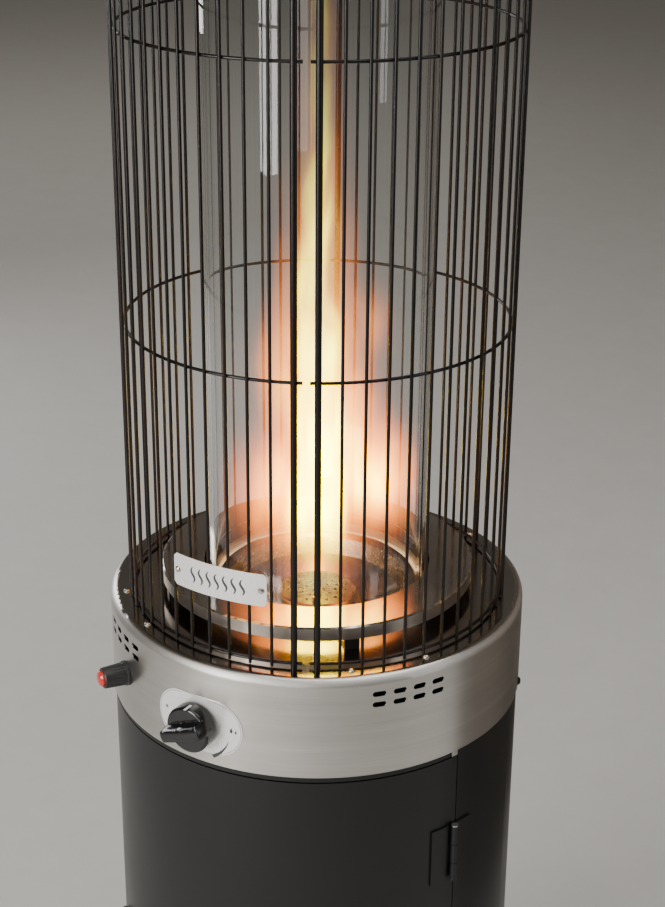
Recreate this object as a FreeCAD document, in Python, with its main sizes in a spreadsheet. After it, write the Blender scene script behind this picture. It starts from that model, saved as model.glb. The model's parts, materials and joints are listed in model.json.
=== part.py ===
"""Free-standing gas heater: a round housing for the bottle, a stainless control collar,
a raised burner plate, a glass flame tube inside a guard of upright rods, and a rain cap.

Millimetres.  +Z is up, -Y is the door side, and the origin is on the floor under the
heater's axis.  An azimuth is the angle about +Z from -Y, positive towards +X.
"""
import FreeCAD, Part
import math
import os
import re

import Sketcher

os.makedirs("parts", exist_ok=True)

Vector = FreeCAD.Vector
UP = Vector(0, 0, 1)

DIMENSIONS = {
    # base plate, feet and wheels
    "foot_height": 15,
    "foot_radius": 18,
    "foot_circle": 170,
    "plate_radius": 215,
    "plate_thickness": 4,
    "anchor_circle": 207,
    "anchor_radius": 3.5,
    "base_vent_radius": 18,
    "wheel_radius": 30,
    "wheel_width": 22,
    "wheel_inset": 122,
    "wheel_back": 212,
    "hub_radius": 22,
    "axle_radius": 5,
    "axle_height": 32,
    "running_gap": 0.05,
    "bracket_sheet": 3,
    "bracket_inset": 117,
    # bottle housing and door
    "shell_radius": 198.5,
    "shell_sheet": 1.2,
    "shell_overlap": 15,
    "shell_flange": 16,
    "door_half_angle": 61.7,
    "door_seam_angle": 0.3,
    "door_bottom": 60,
    "door_top": 694.5,
    "door_play": 1.5,
    "hinge_setback": 1.6,
    "hinge_pivot_radius": 203.5,
    "knuckle_radius": 3.6,
    "pin_radius": 2,
    "hinge_length": 60,
    "knuckle_play": 0.5,
    "leaf_inner": 198.9,
    "leaf_sheet": 1.5,
    "lower_hinge": 130,
    "upper_hinge": 560,
    # control collar
    "collar_radius": 200,
    "collar_sheet": 1,
    "collar_bottom": 700,
    "deck_level": 800,
    "rim_round": 8,
    "deck_opening": 92,
    "vent_length": 12.6,
    "vent_height": 5,
    "vent_pitch": 5.6,
    "vent_low": 772,
    "vent_high": 782.5,
    "collar_screw_level": 705,
    "collar_screw_azimuth": 100.5,
    "deck_screw_circle": 184.8,
    "deck_screw_centre": 41.25,
    "deck_screw_spread": 11.25,
    # gas control
    "knob_azimuth": -11.9,
    "knob_level": 739,
    "knob_radius": 22.5,
    "knob_back": 205.5,
    "knob_face": 217.5,
    "knob_front": 230,
    "grip_width": 12.5,
    "grip_tilt": 22,
    "dial_length": 91.5,
    "dial_width": 55,
    "dial_sheet": 0.8,
    "stem_radius": 4,
    "disc_width": 4,
    "disc_sheet": 0.4,
    "disc_rise": 1.1,
    "disc_pitch": 1.6,
    "valve_back": 140,
    "valve_front": 180,
    "valve_width": 34,
    "valve_height": 40,
    "nozzle_radius": 4.5,
    # push igniter
    "igniter_azimuth": -43.1,
    "igniter_level": 744,
    "sleeve_radius": 11,
    "sleeve_front": 224,
    "button_radius": 7.5,
    # burner
    "burner_plate_radius": 150,
    "burner_plate_opening": 109,
    "burner_plate_level": 825,
    "burner_plate_flange": 13,
    "burner_sheet": 1.2,
    "post_width": 14,
    "post_azimuth": 33,
    "post_radius": 146,
    "bowl_radius": 96.5,
    "bowl_rim_level": 806.5,
    "bowl_mouth": 86,
    "bowl_floor": 768,
    "bowl_floor_radius": 52,
    "head_radius": 38,
    "mixer_radius": 16,
    # glass tube
    "glass_radius": 105,
    "glass_wall": 5,
    "glass_bottom": 803,
    "glass_top": 1705,
    # guard
    "guard_radius": 179.8,
    "rod_radius": 1.5,
    "post_rod_radius": 3,
    "rods_per_half": 28,
    "guard_seam": 17.3,
    "ring_gap": 0.05,
    "ring_level": 804,
    "ring_spacing": 265,
    "rod_bottom": 801,
    "rod_top": 1690,
    # name plate
    "label_width": 95.6,
    "label_height": 31,
    "label_level": 875.7,
    "label_azimuth": -8.65,
    "label_screw_reach": 43,
    # top
    "band_radius": 190,
    "band_bottom": 1660,
    "band_top": 1720,
    "spacer_height": 30,
    "spacer_circle": 150,
    "cap_radius": 200,
    "cap_rise": 38,
    "cap_lip": 9,
    "cap_sheet": 1.2,
    "cap_cone": 132,
}

doc = FreeCAD.newDocument("outdoor_heater")
sheet = doc.addObject("Spreadsheet::Sheet", "dimensions")
for row, (alias, value) in enumerate(DIMENSIONS.items(), start=1):
    sheet.set(f"A{row}", alias)
    sheet.set(f"B{row}", str(value))
    sheet.setAlias(f"B{row}", alias)
doc.recompute()

NODES = []


def cells(formula):
    """The formula with each dimension's name turned into its spreadsheet cell."""
    return re.sub(r"[a-z]+(?:_[a-z]+)+", lambda word: f"dimensions.{word.group()}", str(formula))


def size(formula):
    """The present value of a formula."""
    value = sheet.evalExpression(cells(formula))
    return float(getattr(value, "Value", value))


def bind(item, **formulas):
    for prop, formula in formulas.items():
        item.setExpression(prop, cells(formula))


def place(item, turn=0, level=0):
    """Turn a sub-part about the heater's axis and lift it."""
    item.Placement = FreeCAD.Placement(Vector(0, 0, size(level)), FreeCAD.Rotation(UP, size(turn)))
    item.setExpression("Placement.Base.z", cells(level))


def new_body(label, several=False):
    body = doc.addObject("PartDesign::Body", label)
    body.Label = label
    body.AllowCompound = several
    NODES.append(body)
    return body


def datum(body, role):
    """One of the body's own origin planes or axes."""
    return next(item for item in body.Origin.OriginFeatures if item.Role == role)


def sketch_on(body, role, name, turn=0, lift=0, out=0):
    """A sketch on one of the body's origin planes.

    On XZ_Plane, turn is an azimuth that the sketch faces, lift a height and out a distance
    from the axis.
    On XY_Plane, lift is the height of the sketch.
    """
    sketch = body.newObject("Sketcher::SketchObject", name)
    sketch.AttachmentSupport = [(datum(body, role), "")]
    sketch.MapMode = "FlatFace"
    if role == "XY_Plane":
        offset = Vector(0, 0, size(lift))
        spin = FreeCAD.Rotation(UP, size(turn))
        path = "AttachmentOffset.Base.z"
    else:
        facing = math.radians(size(turn))
        reach = size(out)
        offset = Vector(reach * math.sin(facing), size(lift), reach * math.cos(facing))
        spin = FreeCAD.Rotation(Vector(0, 1, 0), size(turn))
        path = "AttachmentOffset.Base.y"
    sketch.AttachmentOffset = FreeCAD.Placement(offset, spin)
    if lift:
        sketch.setExpression(path, cells(lift))
    return sketch


def hold(sketch, kind, *reference, formula):
    """Add a dimension to a sketch and bind it to a formula."""
    number = sketch.addConstraint(Sketcher.Constraint(kind, *reference, size(formula)))
    sketch.setExpression(f"Constraints[{number}]", cells(formula))


def outline(sketch, corners):
    """A closed outline of straight edges; every corner is a pair of formulas."""
    spots = [Vector(size(across), size(up), 0) for across, up in corners]
    first = sketch.GeometryCount
    count = len(spots)
    for start, end in zip(spots, spots[1:] + spots[:1]):
        sketch.addGeometry(Part.LineSegment(start, end), False)
    for number in range(count):
        here = first + number
        after = first + (number + 1) % count
        sketch.addConstraint(Sketcher.Constraint("Coincident", here, 2, after, 1))
    for number, (across, up) in enumerate(corners):
        hold(sketch, "DistanceX", -1, 1, first + number, 1, formula=across)
        hold(sketch, "DistanceY", -1, 1, first + number, 1, formula=up)


def circle(sketch, radius, across=0, up=0):
    number = sketch.addGeometry(
        Part.Circle(Vector(size(across), size(up), 0), UP, size(radius)), False
    )
    hold(sketch, "Radius", number, formula=radius)
    hold(sketch, "DistanceX", -1, 1, number, 3, formula=across)
    hold(sketch, "DistanceY", -1, 1, number, 3, formula=up)


def slot(sketch, length, width, across=0, up=0):
    """A level slot with round ends, about the spot (across, up)."""
    radius = size(width) / 2
    reach = size(length) / 2 - radius
    middle = Vector(size(across), size(up), 0)
    ends = []
    for side in (1, -1):
        centre = middle + Vector(side * reach, 0, 0)
        start = -math.pi / 2 if side > 0 else math.pi / 2
        arc = Part.ArcOfCircle(Part.Circle(centre, UP, radius), start, start + math.pi)
        number = sketch.addGeometry(arc, False)
        hold(sketch, "Radius", number, formula=f"({width}) / 2")
        reach_formula = f"({across}) + {side} * (({length}) - ({width})) / 2"
        hold(sketch, "DistanceX", -1, 1, number, 3, formula=reach_formula)
        hold(sketch, "DistanceY", -1, 1, number, 3, formula=up)
        ends.append(number)
    rise = Vector(0, radius, 0)
    side_step = Vector(reach, 0, 0)
    top = sketch.addGeometry(
        Part.LineSegment(middle + side_step + rise, middle - side_step + rise), False
    )
    low = sketch.addGeometry(
        Part.LineSegment(middle - side_step - rise, middle + side_step - rise), False
    )
    for line, line_end, arc, arc_end in (
        (top, 1, ends[0], 2),
        (top, 2, ends[1], 1),
        (low, 1, ends[1], 2),
        (low, 2, ends[0], 1),
    ):
        sketch.addConstraint(Sketcher.Constraint("Tangent", line, line_end, arc, arc_end))


def feature(body, kind, name, profile, **formulas):
    item = body.newObject(f"PartDesign::{kind}", name)
    item.Profile = profile
    profile.Visibility = False
    bind(item, **formulas)
    return item


def revolved(body, name, corners, kind="Revolution", role="XZ_Plane", axis="V_Axis",
             turn=0, lift=0, angle=360, both_ways=False):
    """Turn an outline about an axis of its sketch, or cut with it (kind Groove)."""
    profile = sketch_on(body, role, f"{name}_outline", turn, lift)
    outline(profile, corners)
    item = feature(body, kind, name, profile, Angle=angle)
    item.ReferenceAxis = (profile, [axis])
    item.Midplane = both_ways
    return item


def prism(body, name, profile, length, kind="Pad", backwards=False, both_ways=False):
    item = feature(body, kind, name, profile, Length=length)
    item.Reversed = backwards
    item.Midplane = both_ways
    return item


def ring_pattern(body, name, originals, count, sweep=360):
    """Repeat features about the vertical axis."""
    item = body.newObject("PartDesign::PolarPattern", name)
    item.Originals = originals
    item.Axis = (datum(body, "Z_Axis"), [""])
    item.Occurrences = count
    bind(item, Angle=sweep)
    body.Tip = item
    return item


def rounded(body, name, base, edges, radius):
    item = body.newObject("PartDesign::Fillet", name)
    item.Base = (base, edges)
    bind(item, Radius=radius)
    return item


def round_edges(item, radius, level):
    """Names of the item's full circles with this radius at this height."""
    names = []
    for number, edge in enumerate(item.Shape.Edges, start=1):
        curve = edge.Curve
        if not isinstance(curve, Part.Circle):
            continue
        same_radius = abs(curve.Radius - size(radius)) < 0.01
        same_level = abs(curve.Center.z - size(level)) < 0.01
        if same_radius and same_level:
            names.append(f"Edge{number}")
    return names


def tube_of_revolution(label, corners, several=False):
    body = new_body(label, several)
    revolved(body, "wall", corners)
    return body


def radial_piece(label, corners, azimuth, level):
    """A round piece whose axis points out of the collar; corners are (out, radius)."""
    body = new_body(label)
    flipped = [(f"0 - ({out})", radius) for out, radius in corners]
    revolved(body, "turned_shape", flipped, role="YZ_Plane", axis="H_Axis")
    place(body, azimuth, level)
    return body


def curved_plate(label, draw, inner, outer, azimuth, level, half_height):
    """A plate bent to the heater's curve: draw() adds its outline as seen from outside."""
    body = new_body(label)
    profile = sketch_on(body, "XZ_Plane", "outline")
    draw(profile)
    prism(body, "block", profile, f"({outer}) + 20")
    low = f"0 - ({half_height})"
    revolved(body, "inside", [("0", low), (inner, low), (inner, half_height), ("0", half_height)],
             kind="Groove")
    far = f"({outer}) + 30"
    revolved(body, "outside",
             [(outer, low), (far, low), (far, half_height), (outer, half_height)], kind="Groove")
    place(body, azimuth, level)
    return body


def dome_screws(label, spots, level, head_radius, head_height, shank_radius, shank_length,
                count=4):
    """Screws that stand upright round the heater, repeated about its axis."""
    body = new_body(label, several=True)
    shanks = sketch_on(body, "XY_Plane", "shank_circles", lift=level)
    heads = sketch_on(body, "XY_Plane", "head_circles", lift=level)
    for across, up in spots:
        circle(shanks, shank_radius, across, up)
        circle(heads, head_radius, across, up)
    head = prism(body, "heads", heads, head_height)
    doc.recompute()
    top_edges = round_edges(head, head_radius, f"({level}) + ({head_height})")
    dome = rounded(body, "domes", head, top_edges, f"({head_height}) * 0.9")
    shank = prism(body, "shanks", shanks, shank_length, backwards=True)
    if count > 1:
        ring_pattern(body, "ring", [head, dome, shank], count)
    return body


def radial_screws(label, azimuths, level, seat, head_radius, head_height, reach, shank_radius):
    """Dome-headed screws driven towards the heater's axis, one solid each."""
    body = new_body(label, several=True)
    front = f"({seat}) + ({head_height})"
    for number, azimuth in enumerate(azimuths):
        corners = [
            (f"({seat}) - ({reach})", "0"),
            (f"({seat}) - ({reach})", shank_radius),
            (seat, shank_radius),
            (seat, head_radius),
            (f"({seat}) + ({head_height}) * 0.55", f"({head_radius}) * 0.82"),
            (front, f"({head_radius}) * 0.45"),
            (front, "0"),
        ]
        profile = sketch_on(body, "XZ_Plane", f"screw_{number}_outline",
                            turn=f"({azimuth}) - 90")
        outline(profile, corners)
        screw = feature(body, "Revolution", f"screw_{number}", profile, Angle="360")
        screw.ReferenceAxis = (profile, ["H_Axis"])
    place(body, level=level)
    return body


def screw_holes(body, centre, level, radius, count):
    """Upright holes through the sheet below a level, repeated about the axis."""
    face = sketch_on(body, "XY_Plane", "screw_holes_outline", lift=f"({level}) + 3")
    circle(face, radius, *centre)
    hole = prism(body, "screw_hole", face, 12, kind="Pocket")
    ring_pattern(body, "screw_holes", [hole], count)


def polar(radius, azimuth):
    """Formulas for a spot in an XY sketch at a radius and an azimuth."""
    return (f"({radius}) * sin({azimuth})", f"0 - ({radius}) * cos({azimuth})")


def spot(radius, azimuth, level):
    """A point in space at a radius, an azimuth and a height, all numbers."""
    turn = math.radians(azimuth)
    return Vector(radius * math.sin(turn), -radius * math.cos(turn), level)


def bent_path(points, radius):
    """Straight runs joined by tangent arcs of one radius."""
    edges = []
    start = points[0]
    for before, corner, after in zip(points, points[1:], points[2:]):
        inward = (before - corner).normalize()
        onward = (after - corner).normalize()
        half = inward.getAngle(onward) / 2
        reach = radius / math.tan(half)
        enter = corner + inward * reach
        leave = corner + onward * reach
        centre = corner + (inward + onward).normalize() * (radius / math.sin(half))
        middle = centre + (corner - centre).normalize() * radius
        edges.append(Part.LineSegment(start, enter).toShape())
        edges.append(Part.Arc(enter, middle, leave).toShape())
        start = leave
    edges.append(Part.LineSegment(start, points[-1]).toShape())
    return Part.Wire(edges)


def bent_tube(label, points, bend, radius):
    """A round tube or wire along a bent path."""
    path = bent_path(points, bend)
    first = points[1] - points[0]
    ring = Part.Wire(Part.Circle(points[0], first, radius).toShape())
    item = doc.addObject("Part::Feature", label)
    item.Label = label
    item.Shape = path.makePipeShell([ring], True, False)
    item.Placement = FreeCAD.Placement()
    NODES.append(item)
    return item


# ---------------------------------------------------------------- shared places
NOZZLE_RADIUS = "valve_back + 13"
DISC_COUNT = 4
HINGE_AZIMUTH = "(door_half_angle - hinge_setback)"
COLLAR_SCREWS = ("collar_screw_azimuth", "0 - collar_screw_azimuth", "152", "-152")
DECK_SCREWS = [polar("deck_screw_circle", "deck_screw_centre - deck_screw_spread"),
               polar("deck_screw_circle", "deck_screw_centre + deck_screw_spread")]
BASE_SCREW = polar("shell_radius - shell_flange + 5", "20")
CAP_BOLT = polar("spacer_circle", "45")
ROD_PITCH = "(180 / rods_per_half)"
POST_CIRCLE = "(guard_radius - rod_radius + post_rod_radius)"
GUARD_POSTS = [polar(POST_CIRCLE, f"guard_seam - {ROD_PITCH} / 2"),
               polar(POST_CIRCLE, f"guard_seam + {ROD_PITCH} / 2")]


# ---------------------------------------------------------------- base and wheels
def make_base():
    top = "foot_height + plate_thickness"
    body = new_body("base_plate")
    profile = sketch_on(body, "XY_Plane", "plate_outline", lift="foot_height")
    circle(profile, "plate_radius")
    plate = prism(body, "plate", profile, "plate_thickness")
    holes = sketch_on(body, "XY_Plane", "anchor_hole", lift=top)
    circle(holes, "anchor_radius", *polar("anchor_circle", "45"))
    anchors = prism(body, "anchor", holes, "plate_thickness + 1", kind="Pocket")
    ring_pattern(body, "anchors", [anchors], 4)
    grilles = sketch_on(body, "XY_Plane", "gas_vent_circle", lift=top)
    circle(grilles, "base_vent_radius", *polar(NOZZLE_RADIUS, "knob_azimuth"))
    vents = prism(body, "gas_vent", grilles, "plate_thickness + 1", kind="Pocket")
    ring_pattern(body, "gas_vents", [vents], 4)
    screw_holes(body, BASE_SCREW, top, "2.6", 6)
    doc.recompute()
    assert body.Shape.Volume < plate.Shape.Volume

    feet = new_body("rubber_feet", several=True)
    pads = sketch_on(feet, "XY_Plane", "foot_circle_outline")
    circle(pads, "foot_radius", *polar("foot_circle", "45"))
    foot = prism(feet, "foot", pads, "foot_height")
    foot.TaperAngle = -3
    ring_pattern(feet, "feet", [foot], 4)

    dome_screws("base_screws", [BASE_SCREW], f"{top} + shell_sheet", 5, 2.6, 2.4, 5.1,
                count=6)


def make_wheels():
    ear_edge = "wheel_back + 9"
    ear = [
        ("140", "foot_height - 9"),
        (ear_edge, "axle_height - 12"),
        (ear_edge, "axle_height + 9"),
        ("wheel_back - 9", "axle_height + 9"),
        ("plate_radius * 0.87", "foot_height + 6"),
        ("plate_radius * 0.87", "foot_height"),
        ("140", "foot_height"),
    ]
    body = new_body("wheel_brackets", several=True)
    for side, name in ((-1, "left"), (1, "right")):
        inset = f"{side} * bracket_inset"
        face = sketch_on(body, "YZ_Plane", f"{name}_ear_outline")
        face.AttachmentOffset.Base.z = size(inset)
        face.setExpression("AttachmentOffset.Base.z", cells(inset))
        outline(face, ear)
        circle(face, "axle_radius", "wheel_back", "axle_height")
        prism(body, f"{name}_ear", face, "bracket_sheet", both_ways=True)
        foot = sketch_on(body, "XY_Plane", f"{name}_foot_outline",
                         lift="foot_height - bracket_sheet")
        reach = f"{side} * (bracket_inset - 18)"
        outline(foot, [(inset, "140"), (reach, "140"), (reach, "165"), (inset, "165")])
        prism(body, f"{name}_foot", foot, "bracket_sheet")

    half = "wheel_inset + wheel_width + 6"
    axle = doc.addObject("Part::Cylinder", "axle")
    bind(axle, Radius="axle_radius", Height=f"2 * ({half})")
    axle.Placement = FreeCAD.Placement(
        Vector(size(f"0 - ({half})"), size("wheel_back"), size("axle_height")),
        FreeCAD.Rotation(Vector(0, 1, 0), 90))
    NODES.append(axle)

    rim = "hub_radius"
    web = "wheel_width / 2 - 3"
    for side, name in ((-1, "left"), (1, "right")):
        bore = "axle_radius + running_gap"
        hub = new_body(f"wheel_hub_{name}")
        revolved(hub, "hub", [
            ("0 - wheel_width / 2", bore), ("wheel_width / 2", bore),
            ("wheel_width / 2", "axle_radius + 4"), (web, "axle_radius + 5"),
            (web, f"{rim} - 4"), ("wheel_width / 2 - 1", f"{rim} - 3"),
            ("wheel_width / 2 - 1", rim), ("1 - wheel_width / 2", rim),
            ("1 - wheel_width / 2", f"{rim} - 3"), (f"0 - ({web})", f"{rim} - 4"),
            (f"0 - ({web})", "axle_radius + 5"), ("0 - wheel_width / 2", "axle_radius + 4"),
        ], axis="H_Axis")
        tyre = new_body(f"tyre_{name}")
        revolved(tyre, "tread", [
            ("1 - wheel_width / 2", rim), ("wheel_width / 2 - 1", rim),
            ("wheel_width / 2 - 1", "wheel_radius - 2"), ("wheel_width / 2 - 4", "wheel_radius"),
            ("4 - wheel_width / 2", "wheel_radius"), ("1 - wheel_width / 2", "wheel_radius - 2"),
        ], axis="H_Axis")
        for piece in (hub, tyre):
            piece.Placement.Base = Vector(
                size(f"{side} * (wheel_inset + wheel_width / 2)"),
                size("wheel_back"), size("axle_height"))

    caps = new_body("axle_caps", several=True)
    for side in (-1, 1):
        seat = f"{side} * (wheel_inset + wheel_width + 0.5)"
        end = f"{side} * (wheel_inset + wheel_width + 5)"
        dome = f"{side} * (wheel_inset + wheel_width + 8)"
        revolved(caps, f"cap_{1 + side}", [
            (seat, "axle_radius"), (seat, "axle_radius + 4"), (end, "axle_radius + 4"),
            (dome, "axle_radius"), (dome, "0"), (f"{side} * ({half})", "0"),
            (f"{side} * ({half})", "axle_radius"),
        ], axis="H_Axis")
    caps.Placement.Base = Vector(0, size("wheel_back"), size("axle_height"))


# ---------------------------------------------------------------- housing and door
def make_housing():
    low = "foot_height + plate_thickness"
    high = "collar_bottom + shell_overlap"
    inner = "shell_radius - shell_sheet"
    body = new_body("base_shell")
    wall = revolved(body, "wall", [
        ("shell_radius", low), ("shell_radius", high), (inner, high),
        (inner, f"{low} + shell_sheet"), ("shell_radius - shell_flange", f"{low} + shell_sheet"),
        ("shell_radius - shell_flange", low),
    ])
    revolved(body, "doorway", [
        ("0 - shell_radius - 10", "door_bottom"), ("0 - shell_radius - 10", "door_top"),
        ("10 - shell_radius", "door_top"), ("10 - shell_radius", "door_bottom"),
    ], kind="Groove", role="YZ_Plane", angle="2 * door_half_angle", both_ways=True)
    for number, azimuth in enumerate(COLLAR_SCREWS):
        face = sketch_on(body, "XZ_Plane", f"screw_hole_{number}", turn=azimuth,
                         lift="collar_screw_level")
        circle(face, 2.6)
        prism(body, f"screw_bore_{number}", face, "shell_radius + 20", kind="Pocket",
              backwards=True)
    screw_holes(body, BASE_SCREW, low, "2.6", 6)
    doc.recompute()
    assert body.Shape.Volume < wall.Shape.Volume


def make_door():
    inner = "shell_radius - shell_sheet"
    low = "door_bottom + door_play"
    high = "door_top - door_play"
    sweep = "2 * (door_half_angle - door_seam_angle)"
    body = new_body("base_door")
    revolved(body, "panel", [
        ("0 - shell_radius", low), ("0 - shell_radius", high),
        (f"0 - ({inner})", high), (f"0 - ({inner})", low),
    ], role="YZ_Plane", angle=sweep, both_ways=True)
    for name, edge, towards in (("lower", low, 1), ("upper", high, -1)):
        depth = f"({edge}) + {towards} * shell_sheet"
        revolved(body, f"{name}_fold", [
            (f"0 - ({inner}) - 0.2", edge), ("14 - shell_radius", edge),
            ("14 - shell_radius", depth), (f"0 - ({inner}) - 0.2", depth),
        ], role="YZ_Plane", angle="2 * (door_half_angle - 9)", both_ways=True)

    handle = new_body("door_handle")
    grip = "shell_radius + 26"
    face = sketch_on(handle, "YZ_Plane", "side_outline")
    outline(face, [
        ("0 - shell_radius - 0.3", "-70"), ("0 - shell_radius - 6", "-70"),
        (f"0 - ({grip})", "-50"), (f"0 - ({grip})", "50"), ("0 - shell_radius - 6", "70"),
        ("0 - shell_radius - 0.3", "70"), ("0 - shell_radius - 0.3", "48"),
        ("10 - shell_radius - 26", "36"), ("10 - shell_radius - 26", "-36"),
        ("0 - shell_radius - 0.3", "-48"),
    ])
    bar = prism(handle, "bar", face, 20, both_ways=True)
    doc.recompute()
    long_edges = [f"Edge{number}" for number, edge in enumerate(bar.Shape.Edges, start=1)
                  if edge.BoundBox.YMax < -size("shell_radius + 5")
                  and edge.BoundBox.XLength < 0.01]
    rounded(handle, "soft_edges", bar, long_edges, 3)
    place(handle, "9 - door_half_angle", "(door_top + door_bottom) / 2")


def leaf_section(low, high):
    return [("leaf_inner", low), ("leaf_inner + leaf_sheet", low),
            ("leaf_inner + leaf_sheet", high), ("leaf_inner", high)]


def leaf_and_knuckles(label, side, knuckles):
    """A hinge leaf bent to the housing, and the knuckles it turns on.

    side is 1 for the leaf on the housing and -1 for the one on the door.
    """
    body = new_body(label, several=True)
    for number, level in enumerate(("lower_hinge", "upper_hinge")):
        middle = f"{HINGE_AZIMUTH} + {side} * 4.2 - 90"
        revolved(body, f"leaf_{number}", leaf_section(level, f"{level} + hinge_length"),
                 turn=middle, angle="5.6", both_ways=True)
        for order, (low, high) in enumerate(knuckles):
            web = leaf_section(f"{level} + {low}", f"{level} + {high}")
            revolved(body, f"web_{number}_{order}", web,
                     turn=f"{HINGE_AZIMUTH} + {side} * 0.9 - 90", angle="1.2", both_ways=True)
            ring = sketch_on(body, "XY_Plane", f"knuckle_{number}_{order}_outline",
                             lift=f"{level} + {low}")
            circle(ring, "knuckle_radius", *polar("hinge_pivot_radius", HINGE_AZIMUTH))
            prism(body, f"knuckle_{number}_{order}", ring, f"({high}) - ({low})")
    for number, level in enumerate(("lower_hinge", "upper_hinge")):
        ring = sketch_on(body, "XY_Plane", f"pin_hole_{number}_outline",
                         lift=f"{level} + hinge_length + 2")
        circle(ring, "pin_radius + running_gap", *polar("hinge_pivot_radius", HINGE_AZIMUTH))
        prism(body, f"pin_hole_{number}", ring, "hinge_length + 4", kind="Pocket")


def make_hinges():
    third = "hinge_length / 3"
    leaf_and_knuckles("hinge_housing_leaves", 1, [
        ("0", f"{third} - knuckle_play"), (f"2 * {third} + knuckle_play", "hinge_length")])
    leaf_and_knuckles("hinge_door_leaves", -1, [(third, f"2 * {third}")])
    pins = new_body("hinge_pins", several=True)
    for number, level in enumerate(("lower_hinge", "upper_hinge")):
        shaft = sketch_on(pins, "XY_Plane", f"shaft_{number}_outline", lift=f"{level} - 1")
        circle(shaft, "pin_radius", *polar("hinge_pivot_radius", HINGE_AZIMUTH))
        prism(pins, f"shaft_{number}", shaft, "hinge_length + 2")
        head = sketch_on(pins, "XY_Plane", f"head_{number}_outline",
                         lift=f"{level} + hinge_length")
        circle(head, "pin_radius + 1.2", *polar("hinge_pivot_radius", HINGE_AZIMUTH))
        prism(pins, f"head_{number}", head, 1.5)


def make_catch():
    catch = new_body("magnetic_catch")
    block = sketch_on(catch, "XZ_Plane", "catch_outline", lift=-20)
    outline(block, [("-9", "0"), ("9", "0"), ("9", "40"), ("-9", "40")])
    prism(catch, "block", block, "shell_radius - shell_sheet - 1.2")
    core = [("0", "-30"), ("shell_radius - 18", "-30"), ("shell_radius - 18", "30"), ("0", "30")]
    revolved(catch, "core", core, kind="Groove")
    place(catch, "0 - door_half_angle - 4", "(door_top + door_bottom) / 2")
    strike = new_body("strike_plate")
    foot = sketch_on(strike, "XZ_Plane", "strike_outline", lift=-15)
    outline(foot, [("-5", "0"), ("1.5", "0"), ("1.5", "30"), ("-5", "30")])
    prism(strike, "block", foot, "shell_radius - shell_sheet - 0.8")
    revolved(strike, "core", core, kind="Groove")
    place(strike, "3.2 - door_half_angle", "(door_top + door_bottom) / 2")


# ---------------------------------------------------------------- control collar
def make_collar():
    inner = "collar_radius - collar_sheet"
    body = new_body("control_collar")
    skin = revolved(body, "skin", [
        ("collar_radius", "collar_bottom"), ("collar_radius", "deck_level"),
        ("deck_opening", "deck_level"), ("deck_opening", "deck_level - collar_sheet"),
        (inner, "deck_level - collar_sheet"), (inner, "collar_bottom"),
    ])
    doc.recompute()
    outer_edges = round_edges(skin, "collar_radius", "deck_level")
    rim = rounded(body, "rim", skin, outer_edges, "rim_round")
    doc.recompute()
    inner_edges = round_edges(rim, inner, "deck_level - collar_sheet")
    rounded(body, "inner_rim", rim, inner_edges, "rim_round - collar_sheet")
    for side in (-1, 1):
        revolved(body, f"locating_tab_{1 + side}", [
            (inner, "collar_bottom - 5"), ("collar_radius", "collar_bottom - 5"),
            ("collar_radius", "collar_bottom + 1"), (inner, "collar_bottom + 1"),
        ], turn=f"{side} * (door_half_angle - 1.7) - 90", angle="2", both_ways=True)

    vents = sketch_on(body, "XZ_Plane", "vent_slots", turn="45")
    for step in (-1.5, -0.5, 0.5, 1.5):
        for row in ("vent_low", "vent_high"):
            slot(vents, "vent_length", "vent_height",
                 f"collar_radius * sin({step} * vent_pitch)", row)
    group = prism(body, "vents", vents, "collar_radius + 20", kind="Pocket", backwards=True)
    ring_pattern(body, "vent_groups", [group], 4)

    holes = [("knob", "knob_azimuth", "knob_level", "stem_radius + 1.5"),
             ("igniter", "igniter_azimuth", "igniter_level", "9")]
    holes += [(f"screw_{number}", azimuth, "collar_screw_level", "2.6")
              for number, azimuth in enumerate(COLLAR_SCREWS)]
    for name, azimuth, level, radius in holes:
        face = sketch_on(body, "XZ_Plane", f"{name}_hole", turn=azimuth, lift=level)
        circle(face, radius)
        prism(body, f"{name}_bore", face, "collar_radius + 20", kind="Pocket", backwards=True)

    deck = sketch_on(body, "XY_Plane", "deck_screw_holes", lift="deck_level + 1")
    for across, up in DECK_SCREWS:
        circle(deck, 2, across, up)
    bores = prism(body, "deck_bores", deck, "collar_sheet + 2", kind="Pocket")
    ring_pattern(body, "deck_bore_ring", [bores], 4)
    posts = sketch_on(body, "XY_Plane", "guard_post_holes", lift="deck_level + 1")
    for across, up in GUARD_POSTS:
        circle(posts, "post_rod_radius + 0.2", across, up)
    seats = prism(body, "guard_post_bores", posts, "collar_sheet + 2", kind="Pocket")
    ring_pattern(body, "guard_post_ring", [seats], 2)
    doc.recompute()
    assert body.Shape.Volume < skin.Shape.Volume - 3000

    dome_screws("deck_screws", DECK_SCREWS, "deck_level", 3, 2.2, 1.9, 9)
    radial_screws("collar_screws", COLLAR_SCREWS, "collar_screw_level", "collar_radius + 0.05",
                  4.3, 2.5, 9, 2.4)


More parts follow.
